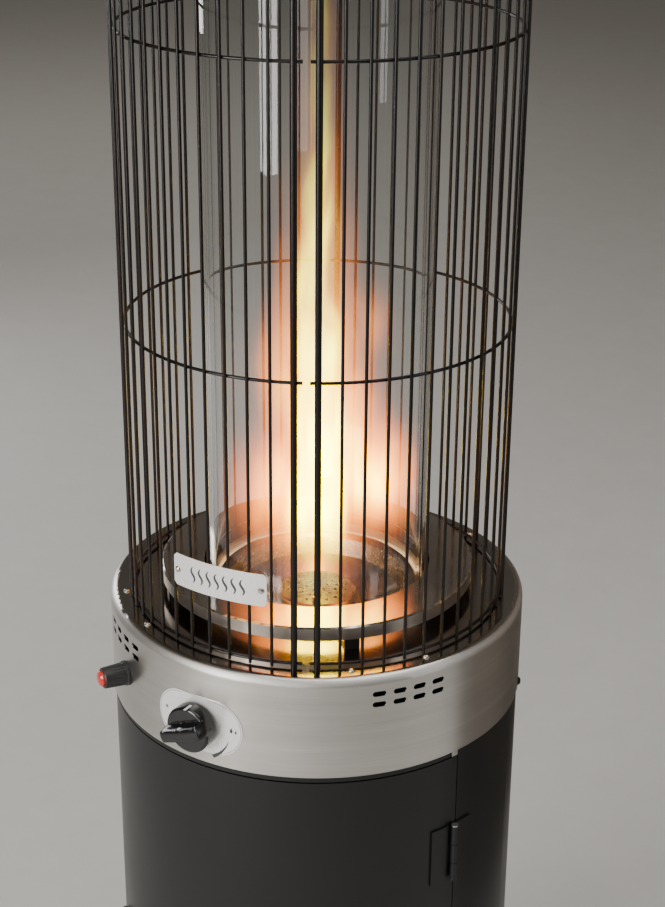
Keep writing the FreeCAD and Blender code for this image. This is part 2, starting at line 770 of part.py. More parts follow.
def make_dial():
    def racetrack(sketch):
        slot(sketch, "dial_length", "dial_width")

    body = curved_plate("dial_plate", racetrack, "collar_radius + 0.05",
                        "collar_radius + 0.05 + dial_sheet", "knob_azimuth", "knob_level", "40")
    face = sketch_on(body, "XZ_Plane", "stem_hole_outline")
    circle(face, "stem_radius + 1.5")
    prism(body, "stem_hole", face, "collar_radius + 20", kind="Pocket", backwards=True)

    knob = radial_piece("control_knob", [
        ("knob_back", "0"), ("knob_back", "knob_radius"), ("knob_face - 2.5", "knob_radius"),
        ("knob_face - 0.8", "knob_radius - 0.8"), ("knob_face", "knob_radius - 2.6"),
        ("knob_face", "0"),
    ], "knob_azimuth", "knob_level")
    root = "knob_face - 1"
    face = sketch_on(knob, "XZ_Plane", "grip_outline", out=root)
    face.AttachmentOffset.Rotation = FreeCAD.Rotation(UP, size("grip_tilt"))
    slot(face, "2 * knob_radius - 2", "grip_width")
    grip = prism(knob, "grip", face, f"knob_front - ({root})")
    doc.recompute()
    front_edges = [f"Edge{number}" for number, edge in enumerate(grip.Shape.Edges, start=1)
                   if edge.BoundBox.YMax < 0.05 - size("knob_front")]
    rounded(knob, "soft_front", grip, front_edges, 1.8)
    end = "knob_front - 4"
    bore = sketch_on(knob, "XZ_Plane", "stem_socket_outline", out=end)
    circle(bore, "stem_radius")
    prism(knob, "stem_socket", bore, f"{end} - knob_back + 1", kind="Pocket")




def disc_springs():
    """Conical washers round the stem, set rim to rim and bore to bore, which push the knob out."""
    stack = new_body("knob_spring", several=True)
    profile = sketch_on(stack, "YZ_Plane", "disc_outlines")
    bore = "stem_radius + 0.4"
    rim = "stem_radius + disc_width"
    for number in range(DISC_COUNT):
        foot = f"valve_front + 0.3 + {number} * disc_pitch"
        at_bore = f"({foot}) + {(number % 2)} * disc_rise"
        at_rim = f"({foot}) + {(number + 1) % 2} * disc_rise"
        outline(profile, [
            (f"0 - ({at_bore})", bore), (f"0 - ({at_rim})", rim),
            (f"0 - ({at_rim}) - disc_sheet", rim), (f"0 - ({at_bore}) - disc_sheet", bore),
        ])
    discs = feature(stack, "Revolution", "discs", profile, Angle="360")
    discs.ReferenceAxis = (profile, ["H_Axis"])
    place(stack, "knob_azimuth", "knob_level")


def make_gas_train():
    level = size("knob_level")
    valve = new_body("valve_body")
    face = sketch_on(valve, "XZ_Plane", "block_outline", out="valve_back")
    half_width = "valve_width / 2"
    outline(face, [(f"0 - {half_width}", "0 - valve_height / 2"),
                   (half_width, "0 - valve_height / 2"),
                   (half_width, "valve_height / 2"), (f"0 - {half_width}", "valve_height / 2")])
    prism(valve, "block", face, "valve_front - valve_back - 12")
    boss = sketch_on(valve, "XZ_Plane", "boss_outline", out="valve_front - 14")
    circle(boss, "stem_radius + 5")
    prism(valve, "boss", boss, 14)
    bore = sketch_on(valve, "XZ_Plane", "stem_bore_outline", out="valve_front + 1")
    circle(bore, "stem_radius + running_gap")
    prism(valve, "stem_bore", bore, 31, kind="Pocket")
    place(valve, "knob_azimuth", "knob_level")

    radial_piece("valve_stem", [
        ("valve_front - 24", "0"), ("valve_front - 24", "stem_radius"),
        ("valve_front + 11", "stem_radius"), ("valve_front + 11", "stem_radius + 2.5"),
        ("valve_front + 13", "stem_radius + 2.5"), ("valve_front + 13", "stem_radius"),
        ("knob_front - 4.5", "stem_radius"), ("knob_front - 4.5", "0"),
    ], "knob_azimuth", "knob_level")
    radial_piece("push_collar", [
        ("valve_front + 7", "stem_radius + running_gap"), ("valve_front + 7", "stem_radius + 4.5"),
        ("valve_front + 10.9", "stem_radius + 4.5"),
        ("valve_front + 10.9", "stem_radius + running_gap"),
    ], "knob_azimuth", "knob_level")

    disc_springs()

    nozzle_top = "knob_level - valve_height / 2"
    nozzle = new_body("hose_nozzle")
    revolved(nozzle, "nozzle", [
        ("2.5", nozzle_top), ("9", nozzle_top), ("9", f"{nozzle_top} - 9"),
        ("nozzle_radius", f"{nozzle_top} - 9"), ("nozzle_radius", f"{nozzle_top} - 33"),
        ("nozzle_radius - 0.8", f"{nozzle_top} - 38"),
        ("2.5", f"{nozzle_top} - 38"),
    ])
    nozzle.Placement = FreeCAD.Placement(
        spot(size(NOZZLE_RADIUS), size("knob_azimuth"), 0), FreeCAD.Rotation())

    bracket = channel_bracket("valve_bracket", "valve_back + 4", "valve_back + 22",
                              "knob_level + valve_height / 2", "deck_level - collar_sheet",
                              "valve_width - 6", 2)
    place(bracket, "knob_azimuth")

    jet_level = size("bowl_floor") - 74
    outlet = spot(size("valve_back"), size("knob_azimuth"), level - 8)
    inward = spot(70, size("knob_azimuth"), level - 8)
    under = spot(34, size("knob_azimuth"), jet_level - 22)
    jet_foot = Vector(0, 0, jet_level - 22)
    bent_tube("gas_pipe", [outlet, inward, under, jet_foot, Vector(0, 0, jet_level)], 14, 4)

    injector = new_body("gas_injector")
    revolved(injector, "jet", [
        ("0.8", f"{jet_level}"), ("7", f"{jet_level}"), ("7", f"{jet_level + 10}"),
        ("4", f"{jet_level + 12}"), ("4", f"{jet_level + 17}"), ("0.8", f"{jet_level + 17}"),
    ])

    mixer = new_body("mixing_tube")
    low = jet_level + 14
    revolved(mixer, "tube", [
        ("mixer_radius - 1.5", f"{low + 6}"), ("mixer_radius - 1.5", "bowl_floor + 6"),
        ("mixer_radius", "bowl_floor + 6"), ("mixer_radius", f"{low}"), ("8", f"{low}"),
        ("8", f"{low + 1.5}"), ("mixer_radius - 1.5", f"{low + 1.5}"),
    ])
    port = sketch_on(mixer, "XZ_Plane", "air_port_outline", lift=f"{low + 14}")
    circle(port, 5)
    air = prism(mixer, "air_port", port, "mixer_radius + 2", kind="Pocket", backwards=True)
    ring_pattern(mixer, "air_ports", [air], 4)


def channel_bracket(label, near, far, low, high, width, metal):
    """A bent strip: a foot, an upright and a head, facing the heater's axis."""
    body = new_body(label)
    face = sketch_on(body, "YZ_Plane", "strip_outline")
    outline(face, [
        (f"0 - ({near})", low), (f"0 - ({far})", low), (f"0 - ({far})", high),
        (f"0 - ({near})", high), (f"0 - ({near})", f"({high}) - {metal}"),
        (f"{metal} - ({far})", f"({high}) - {metal}"), (f"{metal} - ({far})", f"({low}) + {metal}"),
        (f"0 - ({near})", f"({low}) + {metal}"),
    ])
    prism(body, "strip", face, width, both_ways=True)
    return body


def make_igniter():
    bore = "button_radius + 0.15"
    sleeve = radial_piece("igniter_sleeve", [
        ("collar_radius + 0.05", "9"), ("collar_radius + 0.05", "sleeve_radius + 1"),
        ("collar_radius + 2", "sleeve_radius + 1"), ("collar_radius + 2.5", "sleeve_radius"),
        ("sleeve_front - 1", "sleeve_radius - 1"), ("sleeve_front", "sleeve_radius - 2"),
        ("sleeve_front", bore), ("collar_radius + 3", bore), ("collar_radius + 3", "0"),
        ("collar_radius - 50", "0"), ("collar_radius - 50", "7"), ("collar_radius - 44", "8.7"),
        ("collar_radius", "8.7"),
    ], "igniter_azimuth", "igniter_level")
    groove = sketch_on(sleeve, "XZ_Plane", "rib_gap_outline", out="collar_radius + 4")
    circle(groove, 0.9, 0, "sleeve_radius + 0.15")
    gap = prism(sleeve, "rib_gap", groove, 30, kind="Pocket", backwards=True)
    pattern = sleeve.newObject("PartDesign::PolarPattern", "rib_gaps")
    pattern.Originals = [gap]
    pattern.Axis = (datum(sleeve, "Y_Axis"), [""])
    pattern.Occurrences = 22
    bind(pattern, Angle=360)
    sleeve.Tip = pattern

    radial_piece("igniter_button", [
        ("collar_radius + 7.5", "0"), ("collar_radius + 7.5", "button_radius"),
        ("sleeve_front + 1.5", "button_radius"), ("sleeve_front + 3.2", "button_radius - 1.3"),
        ("sleeve_front + 4", "button_radius - 3.6"), ("sleeve_front + 4.2", "0"),
    ], "igniter_azimuth", "igniter_level")
    radial_piece("igniter_nut", [
        ("collar_radius - 6.5", "8.75"), ("collar_radius - 6.5", "13.5"),
        ("collar_radius - 2.2", "13.5"), ("collar_radius - 2.2", "8.75"),
    ], "igniter_azimuth", "igniter_level")

    azimuth = size("igniter_azimuth")
    foot = spot(62, azimuth, 742)
    insulator = new_body("electrode_insulator")
    revolved(insulator, "body", [
        ("0", "742"), ("3.4", "742"), ("3.4", "785"), ("2.6", "800"), ("0", "800")])
    tip = new_body("spark_electrode")
    revolved(tip, "wire", [("0", "800"), ("1.1", "800"), ("1.1", "812"), ("0", "812.6")])
    for piece in (insulator, tip):
        piece.Placement.Base = Vector(foot.x, foot.y, 0)
    back = spot(size("collar_radius - 50"), azimuth, size("igniter_level"))
    bent_tube("ignition_lead", [
        back, spot(112, azimuth, size("igniter_level")), spot(84, azimuth, 716),
        spot(62, azimuth, 716), foot], 11, 1.6)

    side = spot(62, size("knob_azimuth") + 30, 0)
    inward = spot(-1, size("knob_azimuth"), 0)
    across = spot(1, size("knob_azimuth") + 90, 0)
    port = spot(size("valve_back"), size("knob_azimuth"), size("knob_level") + 8) + across * 10
    bent_tube("flame_sensor", [
        port, port + inward * 34, Vector(side.x, side.y - 30, 722), Vector(side.x, side.y, 722),
        Vector(side.x, side.y, 812)], 9, 1.6)

    tilt = new_body("tilt_switch")
    box = sketch_on(tilt, "XY_Plane", "case_outline", lift="deck_level - collar_sheet - 18")
    outline(box, [("-17", "138"), ("17", "138"), ("17", "160"), ("-17", "160")])
    prism(tilt, "case", box, 18)


# ---------------------------------------------------------------- burner and glass
def make_burner():
    metal = "burner_sheet"
    top = "burner_plate_level"
    tube_of_revolution("burner_plate", [
        ("burner_plate_opening", f"{top} - {metal}"), ("burner_plate_opening", top),
        ("burner_plate_radius - 1.5", top), ("burner_plate_radius", f"{top} - 1.5"),
        ("burner_plate_radius", f"{top} - burner_plate_flange"),
        (f"burner_plate_radius - {metal}", f"{top} - burner_plate_flange"),
        (f"burner_plate_radius - {metal}", f"{top} - {metal}"),
    ])
    posts = channel_bracket("burner_plate_posts", "post_radius - 14", "post_radius",
                            "deck_level", f"{top} - {metal}", "post_width", 1.6)
    posts.AllowCompound = True
    ring_pattern(posts, "ring", [posts.Group[-1]], 4)
    place(posts, "post_azimuth")

    bowl = new_body("burner_bowl")
    rim = "bowl_rim_level"
    revolved(bowl, "dish", [
        ("bowl_radius", "deck_level"), ("bowl_radius", f"{rim} - 2"),
        ("bowl_radius - 2", rim), ("bowl_mouth + 3", rim), ("bowl_mouth", f"{rim} - 3"),
        ("bowl_mouth - 6", "deck_level - 12"), ("bowl_floor_radius + 4", "bowl_floor + 2"),
        ("bowl_floor_radius", "bowl_floor"), ("mixer_radius + 0.1", "bowl_floor"),
        ("mixer_radius + 0.1", f"bowl_floor - {metal}"),
        (f"bowl_floor_radius + {metal}", f"bowl_floor - {metal}"),
        (f"bowl_floor_radius + 4 + {metal}", f"bowl_floor + 2 - {metal}"),
        (f"bowl_mouth - 6 + {metal}", "deck_level - 12"),
        (f"bowl_mouth + {metal}", f"{rim} - 3.4"), (f"bowl_mouth + 3.4", f"{rim} - {metal}"),
        ("bowl_radius - 2.4", f"{rim} - {metal}"), (f"bowl_radius - {metal}", f"{rim} - 2.4"),
        (f"bowl_radius - {metal}", "deck_level"),
    ])
    hole = sketch_on(bowl, "XY_Plane", "sensor_holes", lift="deck_level + 20")
    for azimuth in ("igniter_azimuth", "knob_azimuth + 30"):
        circle(hole, 3.7, *polar("62", azimuth))
    prism(bowl, "sensor_bores", hole, 60, kind="Pocket")

    head = new_body("burner_head")
    floor = "bowl_floor + 0.1"
    crown = "bowl_floor + 22"
    shell = revolved(head, "shell", [
        ("mixer_radius + 0.1", floor), ("mixer_radius + 0.1", f"{floor} + 1"),
        ("head_radius - 1", f"{floor} + 1"), ("head_radius - 1", f"{crown} - 1"),
        ("0", f"{crown} + 2"), ("0", f"{crown} + 3"), ("head_radius - 2", crown),
        ("head_radius", f"{crown} - 1.5"), ("head_radius", floor),
    ])
    port = sketch_on(head, "XZ_Plane", "side_port_outline", lift=f"{floor} + 12")
    slot(port, "3", "2.2")
    side = prism(head, "side_port", port, "head_radius + 3", kind="Pocket", backwards=True)
    ring_pattern(head, "side_ports", [side], 24)
    for number, (radius, count) in enumerate(((10, 6), (19, 12), (28, 18))):
        drill = sketch_on(head, "XY_Plane", f"port_{number}_outline", lift=f"{crown} + 6")
        circle(drill, 1.5, 0, f"{radius}")
        top_port = prism(head, f"port_{number}", drill, 12, kind="Pocket")
        ring_pattern(head, f"ports_{number}", [top_port], count)
    doc.recompute()
    assert head.Shape.Volume < shell.Shape.Volume


def make_glass():
    inner = "glass_radius - glass_wall"
    tube_of_revolution("glass_tube", [
        (inner, "glass_bottom"), ("glass_radius", "glass_bottom"),
        ("glass_radius", "glass_top"), (inner, "glass_top")])
    tube_of_revolution("glass_gasket", [
        (f"{inner} - 1.5", "deck_level"), ("glass_radius + 0.9", "deck_level"),
        ("glass_radius + 0.9", "glass_bottom"), (f"{inner} - 1.5", "glass_bottom")])
    tube_of_revolution("glass_seat", [
        ("glass_radius + 1", "deck_level"), ("glass_radius + 8", "deck_level"),
        ("glass_radius + 8", "deck_level + 1"), ("glass_radius + 2", "deck_level + 1"),
        ("glass_radius + 2", "deck_level + 12"), ("glass_radius + 1", "deck_level + 12")])
    under = "band_top - 1"
    tube_of_revolution("glass_top_ring", [
        (f"{inner} - 1", under), ("glass_radius + 12", under),
        ("glass_radius + 12", f"{under} - 1.2"), ("glass_radius + 2", f"{under} - 1.2"),
        ("glass_radius + 2", f"{under} - 26"), ("glass_radius + 0.8", f"{under} - 26"),
        ("glass_radius + 0.8", f"{under} - 1.2"), (f"{inner} - 1", f"{under} - 1.2")])


# ---------------------------------------------------------------- guard
def make_guard():
    for half, name in ((0, "right"), (180, "left")):
        rods = new_body(f"guard_rods_{name}", several=True)
        thin = sketch_on(rods, "XY_Plane", "rod_outline", lift="rod_bottom")
        circle(thin, "rod_radius", *polar("guard_radius", f"1.5 * {ROD_PITCH}"))
        rod = prism(rods, "rod", thin, "rod_top - rod_bottom")
        ring_pattern(rods, "rods", [rod], int(size("rods_per_half")) - 2,
                     f"{ROD_PITCH} * (rods_per_half - 3)")
        thick = sketch_on(rods, "XY_Plane", "post_outline", lift="deck_level - 16")
        for azimuth in (f"0.5 * {ROD_PITCH}", f"180 - 0.5 * {ROD_PITCH}"):
            circle(thick, "post_rod_radius", *polar(POST_CIRCLE, azimuth))
        prism(rods, "posts", thick, "band_top + 5 - deck_level + 16")
        place(rods, f"guard_seam + {half}")

        rings = new_body(f"guard_rings_{name}", several=True)
        for number in range(4):
            wire = sketch_on(rings, "XZ_Plane", f"ring_{number}_section", turn="1 - 90",
                             lift=0)
            circle(wire, "rod_radius", "guard_radius - 2 * rod_radius - ring_gap",
                   f"ring_level + {number} * ring_spacing")
            ring = feature(rings, "Revolution", f"ring_{number}", wire, Angle="178")
            ring.ReferenceAxis = (wire, ["V_Axis"])
        place(rings, f"guard_seam + {half}")

    nuts = new_body("guard_nuts", several=True)
    for name, level, height in (("foot", "deck_level - collar_sheet - 5", 5),
                                ("top", "band_top", 8)):
        rims = sketch_on(nuts, "XY_Plane", f"{name}_nut_outline", lift=level)
        bores = sketch_on(nuts, "XY_Plane", f"{name}_thread_outline", lift=f"{level} - 1")
        for across, up in GUARD_POSTS:
            circle(rims, "post_rod_radius + 2.6", across, up)
            circle(bores, "post_rod_radius", across, up)
        nut = prism(nuts, f"{name}_nut", rims, height)
        thread = prism(nuts, f"{name}_thread", bores, 6, kind="Pocket", backwards=True)
        ring_pattern(nuts, f"{name}_ring", [nut, thread], 2)


def make_label():
    def panel(sketch):
        across = "label_width / 2"
        up = "label_height / 2"
        outline(sketch, [
            (f"3 - {across}", f"0 - {up}"), (f"{across} - 3", f"0 - {up}"),
            (across, f"3 - {up}"), (across, f"{up} - 3"), (f"{across} - 3", up),
            (f"3 - {across}", up), (f"0 - {across}", f"{up} - 3"), (f"0 - {across}", f"3 - {up}"),
        ])

    front = "guard_radius + rod_radius + 0.2"
    label = curved_plate("name_plate", panel, front, f"{front} + 0.8",
                         "label_azimuth", "label_level", "25")
    holes = sketch_on(label, "XZ_Plane", "screw_holes_outline")
    backs = new_body("name_plate_clamps", several=True)
    for side in (-1, 1):
        circle(holes, 1.7, f"{side} * label_screw_reach")
        strip = sketch_on(backs, "XZ_Plane", f"strip_{1 + side}_outline",
                          turn=f"{side} * 13.6", out="guard_radius - rod_radius - 1.6")
        outline(strip, [("-9", "-5"), ("9", "-5"), ("9", "5"), ("-9", "5")])
        prism(backs, f"strip_{1 + side}", strip, 1.2)
        drill = sketch_on(backs, "XZ_Plane", f"hole_{1 + side}_outline", turn=f"{side} * 13.6")
        circle(drill, 1.6)
        prism(backs, f"hole_{1 + side}", drill, 200, kind="Pocket", backwards=True)
    prism(label, "screw_holes", holes, 220, kind="Pocket", backwards=True)
    place(backs, "label_azimuth", "label_level")
    radial_screws("name_plate_screws",
                  ("label_azimuth - 13.6", "label_azimuth + 13.6"),
                  "label_level", f"{front} + 1.1", 3, 1.8, 7, 1.4)


# ---------------------------------------------------------------- top
def make_top():
    inner = "band_radius - 1"
    band = new_body("top_band")
    skin = revolved(band, "skin", [
        ("band_radius", "band_bottom"), ("band_radius", "band_top"),
        ("glass_radius - glass_wall", "band_top"), ("glass_radius - glass_wall", "band_top - 1"),
        (inner, "band_top - 1"), (inner, "band_bottom")])
    doc.recompute()
    rounded(band, "rim", skin, round_edges(skin, "band_radius", "band_top"), 4)
    for name, places, radius, count in (
            ("spacer", [CAP_BOLT], "2.6", 4), ("post", GUARD_POSTS, "post_rod_radius + 0.2", 2)):
        face = sketch_on(band, "XY_Plane", f"{name}_hole_outline", lift="band_top + 1")
        for across, up in places:
            circle(face, radius, across, up)
        hole = prism(band, f"{name}_hole", face, 3, kind="Pocket")
        ring_pattern(band, f"{name}_holes", [hole], count)

    spacers = new_body("cap_spacers", several=True)
    face = sketch_on(spacers, "XY_Plane", "spacer_outline", lift="band_top")
    circle(face, 7, *CAP_BOLT)
    circle(face, 2.6, *CAP_BOLT)
    spacer = prism(spacers, "spacer", face, "spacer_height")
    ring_pattern(spacers, "ring", [spacer], 4)

    low = "band_top + spacer_height"
    cap = new_body("top_cap")
    revolved(cap, "shell", [
        ("cap_radius", f"{low} - cap_lip"), ("cap_radius", f"{low} + cap_sheet"),
        ("cap_cone", f"{low} + cap_sheet"), ("40", f"{low} + cap_rise - 2"),
        ("0", f"{low} + cap_rise"), ("0", f"{low} + cap_rise - cap_sheet"),
        ("40", f"{low} + cap_rise - cap_sheet - 2"), ("cap_cone", low),
        ("cap_radius - cap_sheet", low), ("cap_radius - cap_sheet", f"{low} - cap_lip")])
    screw_holes(cap, CAP_BOLT, low, "2.6", 4)
    dome_screws("cap_bolts", [CAP_BOLT], f"{low} + cap_sheet", 6, 4, 2.5, 40)


make_base()
make_wheels()
make_housing()
make_door()
make_hinges()
make_catch()
make_collar()
make_dial()
make_gas_train()
make_igniter()
make_burner()
make_glass()
make_guard()
make_label()
make_top()
doc.recompute()

for item in doc.Objects:
    if "Invalid" in item.State or "Error" in item.State:
        raise RuntimeError(f"{item.Name} failed: {item.State}")
for node in NODES:
    shape = node.Shape
    if shape.isNull() or not shape.isValid() or not shape.Solids:
        raise RuntimeError(f"{node.Label} has no valid solid")
    shape.exportStep(f"parts/{node.Label}.step")
    print(f"{node.Label}: {len(shape.Solids)} solids, {shape.Volume / 1000:.1f} cm3")
print(len(NODES), "nodes")
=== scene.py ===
"""Looks of the outdoor heater: the finishes of its CAD nodes, its fine mouldings and prints, its
flame, and the studio."""

import json
import math

import bmesh
import bpy
from mathutils import Matrix, Vector


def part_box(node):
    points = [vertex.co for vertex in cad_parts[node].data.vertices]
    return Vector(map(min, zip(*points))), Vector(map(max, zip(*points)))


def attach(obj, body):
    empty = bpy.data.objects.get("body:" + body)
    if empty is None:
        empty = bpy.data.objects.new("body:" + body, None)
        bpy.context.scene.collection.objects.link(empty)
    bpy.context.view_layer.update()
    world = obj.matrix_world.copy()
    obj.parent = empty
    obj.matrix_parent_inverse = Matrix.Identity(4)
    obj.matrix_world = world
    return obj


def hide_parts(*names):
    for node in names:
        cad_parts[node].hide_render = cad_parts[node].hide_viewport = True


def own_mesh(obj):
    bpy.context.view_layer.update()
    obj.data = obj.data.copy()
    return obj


MM = 0.001

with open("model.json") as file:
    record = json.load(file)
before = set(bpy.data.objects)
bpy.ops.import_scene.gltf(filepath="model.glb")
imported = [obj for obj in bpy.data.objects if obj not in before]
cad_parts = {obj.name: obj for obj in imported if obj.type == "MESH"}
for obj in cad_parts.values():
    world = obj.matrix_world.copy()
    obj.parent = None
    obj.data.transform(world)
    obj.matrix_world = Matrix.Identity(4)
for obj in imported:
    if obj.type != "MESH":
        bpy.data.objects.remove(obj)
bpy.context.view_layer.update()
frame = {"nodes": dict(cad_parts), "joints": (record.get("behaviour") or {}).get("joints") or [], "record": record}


# ---------------------------------------------------------------- reading the frame

def points(node):
    """A CAD node's vertices, in the row frame."""
    return [vertex.co for vertex in frame["nodes"][node].data.vertices]


def out_of(azimuth):
    """The level direction at that azimuth, which runs from -Y towards +X."""
    return Vector((math.sin(azimuth), -math.cos(azimuth), 0))


def middle_azimuth(node):
    low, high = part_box(node)
    middle = (low + high) / 2
    return math.atan2(middle.x, -middle.y)


def outer_radius(node):
    return max(math.hypot(point.x, point.y) for point in points(node))


def extent(node, direction):
    """The least and the greatest distance of a node's vertices along a direction."""
    along = [point.dot(direction) for point in points(node)]
    return min(along), max(along)


def joint(name):
    return next(item for item in frame["joints"] if item["name"] == name)


# ---------------------------------------------------------------- shader nodes

class Tree:
    """Short calls that add and link the nodes of one material or world."""

    def __init__(self, owner):
        owner.use_nodes = True
        self.nodes = owner.node_tree.nodes
        self.links = owner.node_tree.links

    def put(self, socket, value):
        if isinstance(value, bpy.types.NodeSocket):
            self.links.new(value, socket)
        else:
            socket.default_value = value

    def add(self, kind, values=(), **settings):
        node = self.nodes.new("ShaderNode" + kind)
        for name, value in settings.items():
            setattr(node, name, value)
        for name, value in dict(values).items():
            self.put(node.inputs[name], value)
        return node

    def calc(self, operation, *values):
        node = self.add("Math", operation=operation)
        for socket, value in zip(node.inputs, values):
            self.put(socket, value)
        return node.outputs[0]

    def vector(self, operation, *values):
        node = self.add("VectorMath", operation=operation)
        for socket, value in zip(node.inputs, values):
            self.put(socket, value)
        return node.outputs["Value" if operation in ("LENGTH", "DOT_PRODUCT") else "Vector"]

    def place(self):
        """Where the point is in the row frame, in metres."""
        return self.add("TexCoord").outputs["Object"]

    def noise(self, where, scale, detail=2, output="Fac"):
        values = {"Vector": where, "Scale": scale, "Detail": detail}
        return self.add("TexNoise", values).outputs[output]

    def span(self, value, low, high, to_low, to_high, smooth=False):
        """value, carried from one range to another and held at its ends."""
        values = {"Value": value, "From Min": low, "From Max": high,
                  "To Min": to_low, "To Max": to_high}
        kind = "SMOOTHSTEP" if smooth else "LINEAR"
        return self.add("MapRange", values, interpolation_type=kind).outputs["Result"]

    def blend(self, amount, first, second):
        node = self.add("Mix", data_type="RGBA")
        self.put(node.inputs[0], amount)
        self.put(node.inputs[6], first)
        self.put(node.inputs[7], second)
        return node.outputs[2]

    def ramp(self, value, stops):
        node = self.add("ValToRGB", {"Fac": value})
        elements = node.color_ramp.elements
        while len(elements) < len(stops):
            elements.new(0.5)
        for element, (position, colour) in zip(elements, stops):
            element.position = position
            element.color = (*colour, 1)
        return node.outputs["Color"]

    def curve(self, value, stops):
        """A smooth curve through (position, height) stops, both from 0 to 1."""
        node = self.add("FloatCurve", {"Value": value})
        line = node.mapping.curves[0]
        for _ in stops[2:]:
            line.points.new(0.5, 0.5)
        for point, place in zip(line.points, stops):
            point.location = place
        node.mapping.update()
        return node.outputs[0]


def shaded(colour, share):
    """An RGBA colour, lightened or darkened by a share of itself."""
    return (*(min(1.0, part * (1 + share)) for part in colour), 1)


def new_finish(name, **constants):
    """A material, its tree and its Principled shader, with the shader's constant sockets set."""
    material = bpy.data.materials.new(name)
    tree = Tree(material)
    shader = tree.nodes["Principled BSDF"]
    for socket, value in constants.items():
        shader.inputs[socket.replace("_", " ")].default_value = value
    return material, tree, shader


def grained(name, colour, roughness, grain=700, stretch=(1, 1, 1), tone=0.12, swing=0.05,
            relief=0.02, **constants):
    """A finish whose colour, roughness and relief follow a fine grain, stretched where it is
    brushed, and slow clouds as handling leaves them. relief is the grain's height in millimetres."""
    material, tree, shader = new_finish(name, **constants)
    place = tree.place()
    fine = tree.noise(tree.vector("MULTIPLY", place, stretch), grain, 3)
    slow = tree.noise(place, 11, 4)
    mixed = tree.calc("MULTIPLY_ADD", slow, 0.6, tree.calc("MULTIPLY", fine, 0.4))
    spread = tree.span(mixed, 0.3, 0.7, 0, 1)
    tree.put(shader.inputs["Base Color"],
             tree.blend(spread, shaded(colour, -tone), shaded(colour, tone)))
    tree.put(shader.inputs["Roughness"],
             tree.span(mixed, 0.3, 0.7, roughness - swing, roughness + swing))
    bump = tree.add("Bump", {"Height": fine, "Strength": 0.35, "Distance": relief * MM})
    tree.put(shader.inputs["Normal"], bump.outputs["Normal"])
    return material


# ---------------------------------------------------------------- finishes

BRUSH_ROUND = (0.006, 0.006, 1)
BRUSH_UP = (1, 1, 0.02)
STEEL = (0.66, 0.64, 0.61)
WARM_STEEL = (0.56, 0.51, 0.46)
HEATED_STEEL = (0.40, 0.31, 0.24)


def brushed_stainless():
    """Stainless steel brushed round the body. What faces up is polished and browner, and its colour
    is darkened as painted shade for the dark room it reflects. The rounding between the two is
    rougher than either."""
    material, tree, shader = new_finish("brushed_stainless", Metallic=1.0, Anisotropic=0.55,
                                        Anisotropic_Rotation=0.25)
    place = tree.place()
    streaks = tree.noise(tree.vector("MULTIPLY", place, BRUSH_ROUND), 1500, 4)
    broad = tree.noise(tree.vector("MULTIPLY", place, (0.05, 0.05, 1)), 90, 3)
    clouds = tree.noise(place, 7, 4)
    up = tree.vector("DOT_PRODUCT", tree.add("NewGeometry").outputs["Normal"], (0, 0, 1))
    deck = tree.span(up, 0.75, 0.97, 0, 1, smooth=True)
    rim = tree.calc("SINE", tree.calc("MULTIPLY", tree.span(up, 0.02, 0.98, 0, 1), math.pi))
    mixed = tree.calc("MULTIPLY_ADD", streaks, 0.45, tree.calc("MULTIPLY", broad, 0.55))
    band_colour = tree.blend(tree.span(mixed, 0.3, 0.7, 0, 1),
                             shaded(STEEL, -0.14), shaded(STEEL, 0.1))
    # painted shade: the upward faces take the warm steel darkened to between half and three quarters, standing in
    # for the dark surroundings the deck reflects
    deck_tone_and_painted_shade = tree.blend(tree.span(clouds, 0.35, 0.65, 0, 1),
                             shaded(WARM_STEEL, -0.5), shaded(WARM_STEEL, -0.25))
    tree.put(shader.inputs["Base Color"], tree.blend(deck, band_colour, deck_tone_and_painted_shade))
    clouded = tree.calc("MULTIPLY_ADD", clouds, 0.5, tree.calc("MULTIPLY", mixed, 0.5))
    band_rough = tree.span(clouded, 0.3, 0.7, 0.25, 0.36)
    deck_rough = tree.span(clouds, 0.3, 0.7, 0.07, 0.16)
    difference = tree.calc("SUBTRACT", deck_rough, band_rough)
    rough = tree.calc("MULTIPLY_ADD", difference, deck, band_rough)
    tree.put(shader.inputs["Roughness"], tree.calc("MULTIPLY_ADD", rim, 0.22, rough))
    bump = tree.add("Bump", {"Height": streaks, "Strength": 0.12, "Distance": 0.02 * MM})
    tree.put(shader.inputs["Normal"], bump.outputs["Normal"])
    tangent = tree.add("Tangent", direction_type="RADIAL", axis="Z")
    tree.put(shader.inputs["Tangent"], tangent.outputs["Tangent"])
    return material


def polished_stainless():
    """Polished steel with faint wiping marks, browned by heat towards the middle. Its upright
    faces are satin."""
    material, tree, shader = new_finish("polished_stainless", Metallic=1.0)
    place = tree.place()
    clouds = tree.noise(place, 16, 4)
    wiping = tree.noise(tree.vector("MULTIPLY", place, (1, 0.15, 1)), 260, 2)
    level = tree.vector("MULTIPLY", place, (1, 1, 0))
    radius = tree.calc("MULTIPLY_ADD", clouds, 0.02, tree.vector("LENGTH", level))
    heat = tree.span(radius, 0.1, 0.15, 1, 0, smooth=True)
    base = tree.blend(tree.span(clouds, 0.3, 0.7, 0, 1),
                      shaded(WARM_STEEL, -0.1), shaded(WARM_STEEL, 0.15))
    tree.put(shader.inputs["Base Color"],
             tree.blend(tree.calc("MULTIPLY", heat, 0.75), base, (*HEATED_STEEL, 1)))
    up = tree.vector("DOT_PRODUCT", tree.add("NewGeometry").outputs["Normal"], (0, 0, 1))
    upright = tree.span(tree.calc("ABSOLUTE", up), 0.2, 0.6, 0.2, 0, smooth=True)
    tree.put(shader.inputs["Roughness"],
             tree.calc("ADD", upright, tree.span(wiping, 0.3, 0.7, 0.08, 0.17)))
    bump = tree.add("Bump", {"Height": clouds, "Strength": 0.1, "Distance": 0.5 * MM})
    tree.put(shader.inputs["Normal"], bump.outputs["Normal"])
    return material


